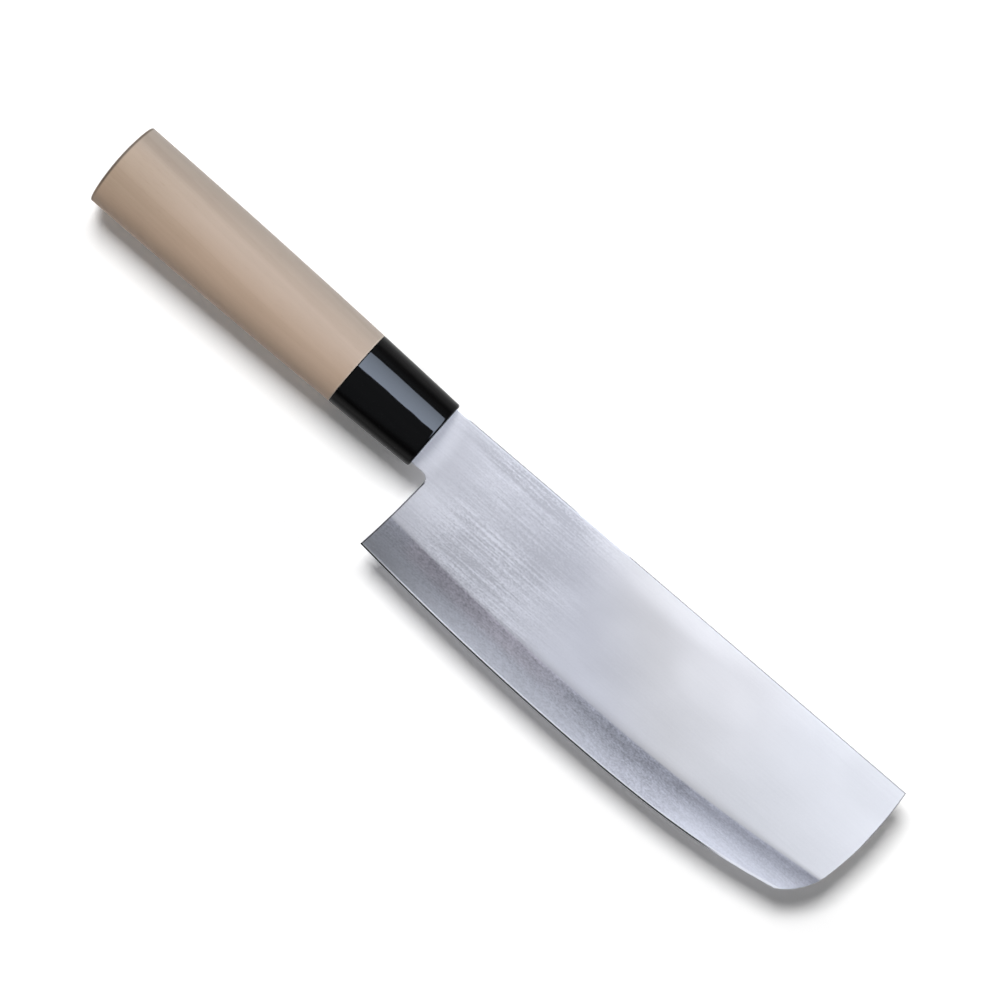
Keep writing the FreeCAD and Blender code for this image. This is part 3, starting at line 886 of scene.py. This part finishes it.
def make_handle():
    """The wooden handle and its ferrule, and finishes for the glue, the bedding and the seal, which stay as
    they come."""
    points, groups = handle_shape()
    wood = wood_finish()
    make_piece("wooden_handle", points, groups, "handle", wood, HANDLE_SHARP, {})
    points, groups = ferrule_shape()
    black = ferrule_finish()
    make_piece("black_ferrule", points, groups, "ferrule", black, HANDLE_SHARP, {})

    kept = {
        "ferrule_adhesive": resin_finish("amber_glue", (0.50, 0.40, 0.20), (0.64, 0.54, 0.32), 0.35),
        "tang_bedding": resin_finish("brown_resin", (0.28, 0.19, 0.09), (0.42, 0.30, 0.16), 0.45),
        "slot_seal": resin_finish("black_seal", (0.004, 0.004, 0.0042), (0.012, 0.012, 0.0125), 0.4),
    }
    for node, material in kept.items():
        frame["nodes"][node].data.materials.clear()
        frame["nodes"][node].data.materials.append(material)


# Studio, in metres

CAMERA_HEIGHT = 1.27
SENSOR = 36               # in millimetres, as the camera takes it
FRAME_WIDTH = 0.2857      # width of the picture at the blade's mid-plane
FRAME_TURN = math.radians(41.08)
FRAME_MIDDLE = np.array([26.16, -1.48, 0])          # of the picture, in millimetres in the drawing frame
FLOOR_HALF = 6.0
SHADOW_HALF = (0.163, 0.036)     # the floor keeps the shadow in a rounded box of this half length and width
SHADOW_Y = -0.004                # with its middle here
ROOM_LIGHT = 0.05
LIGHT_HEIGHT = 3.6
KEY_WAY = np.array([-0.50, 0.53, 1])                # to the key light, for each metre of height
KEY_SIZE = (2.05, 2.05)
KEY_RADIANCE = 19.0
PANEL_SIZE = (4.6, 3.4)
PANEL_TURN = math.radians(-29.6)
PANEL_EDGE = np.array([0, 0.428, LIGHT_HEIGHT])     # a point on the panel's near edge
PANEL_SHIFT = 0.4                                   # from there to that edge's middle
PANEL_RADIANCE = 1.4
PANEL_SPREAD = math.radians(140)


def grey(finish, value):
    """Colour between black and white."""
    return finish.mix(value, rgb(0, 0, 0), rgb(1, 1, 1))


def looked_at(finish):
    """1 for what the camera sees directly, in a reflection or through glass, and 0 for light on its way."""
    kinds = ("Is Camera Ray", "Is Glossy Ray", "Is Transmission Ray")
    camera, glossy, transmission = (finish.node("ShaderNodeLightPath", {}, {}, kind) for kind in kinds)
    return finish.ramp(camera + glossy + transmission, 0.0, 1.0)


def make_floor():
    """Wide pale floor at the knife's lowest point. It keeps the shadow in a rounded box round the knife, by
    the fourth powers of the ways from the box's middle, and is white further out."""
    mesh = bpy.data.meshes.new("floor")
    low, high = -FLOOR_HALF, FLOOR_HALF
    mesh.from_pydata([(low, low, 0), (high, low, 0), (high, high, 0), (low, high, 0)], [], [(0, 1, 2, 3)])
    floor = bpy.data.objects.new("floor", mesh)
    bpy.context.scene.collection.objects.link(floor)

    finish = Finish(bpy.data.materials.new("pale_floor"))
    place = finish.place()
    along = finish.part(place, "X") / SHADOW_HALF[0]
    across = (finish.part(place, "Y") - SHADOW_Y) / SHADOW_HALF[1]
    away = (along * along) ** 2 + (across * across) ** 2
    glow = finish.ramp(away, 0.62, 2.2, 0.13, 1.0) * looked_at(finish)
    pale = finish.node("ShaderNodeBsdfDiffuse", {}, {"Color": rgb(0.99, 0.99, 0.99)})
    light = finish.node("ShaderNodeEmission", {}, {"Color": grey(finish, glow), "Strength": 1.0})
    both = finish.node("ShaderNodeAddShader", {}, {0: pale, 1: light})
    finish.node("ShaderNodeOutputMaterial", {}, {0: both})
    mesh.materials.append(finish.owner)


def make_world():
    """Dim room, white near the horizon where it is looked at."""
    world = bpy.data.worlds.new("room")
    bpy.context.scene.world = world
    finish = Finish(world)
    toward = finish.node("ShaderNodeTexCoord", {}, {}, "Generated")
    horizon = finish.ramp(finish.part(toward, "Z"), 0.14, 0.07)
    glow = ROOM_LIGHT + looked_at(finish) * horizon * (1 - ROOM_LIGHT)
    sky = finish.node("ShaderNodeBackground", {}, {"Color": grey(finish, glow), "Strength": 1.0})
    finish.node("ShaderNodeOutputWorld", {}, {0: sky})


def make_panel(name, centre, size, turn, radiance, colour):
    """Level light panel, turned about the vertical and shining down."""
    lamp = bpy.data.lights.new(name, "AREA")
    lamp.shape = "RECTANGLE"
    lamp.size, lamp.size_y = size
    lamp.energy = radiance * math.pi * lamp.size * lamp.size_y
    lamp.color = colour
    panel = bpy.data.objects.new(name, lamp)
    panel.location = ORIGIN + centre
    panel.rotation_euler = (0, 0, turn)
    panel.visible_camera = False
    bpy.context.scene.collection.objects.link(panel)
    return panel


def make_lights():
    """Soft key light from beyond the handle's upper side, which lays the shadow, and a wide panel that the
    polished surfaces show, its near edge slanting in towards the tip."""
    make_panel("key", LIGHT_HEIGHT * KEY_WAY, KEY_SIZE, 0, KEY_RADIANCE, (1, 1, 1))

    along = np.array([math.cos(PANEL_TURN), math.sin(PANEL_TURN), 0])
    across = np.array([-math.sin(PANEL_TURN), math.cos(PANEL_TURN), 0])
    centre = PANEL_EDGE + PANEL_SHIFT * along + PANEL_SIZE[1] / 2 * across
    panel = make_panel("panel", centre, PANEL_SIZE, PANEL_TURN, PANEL_RADIANCE, (0.95, 1.0, 1.12))
    panel.data.spread = PANEL_SPREAD
    panel.visible_diffuse = False


def make_camera():
    """Camera straight above the knife, turned so that the knife runs across the picture from corner to
    corner."""
    lens = bpy.data.cameras.new("camera")
    lens.sensor_width = SENSOR
    lens.lens = SENSOR * CAMERA_HEIGHT / FRAME_WIDTH
    camera = bpy.data.objects.new("camera", lens)
    camera.location = FRAME_MIDDLE * MM + ORIGIN + np.array([0, 0, CAMERA_HEIGHT])
    camera.rotation_euler = (0, 0, FRAME_TURN)
    bpy.context.scene.collection.objects.link(camera)
    bpy.context.scene.camera = camera


make_blade()
make_handle()
make_floor()
make_world()
make_lights()
make_camera()
bpy.context.scene.view_settings.view_transform = "Standard"
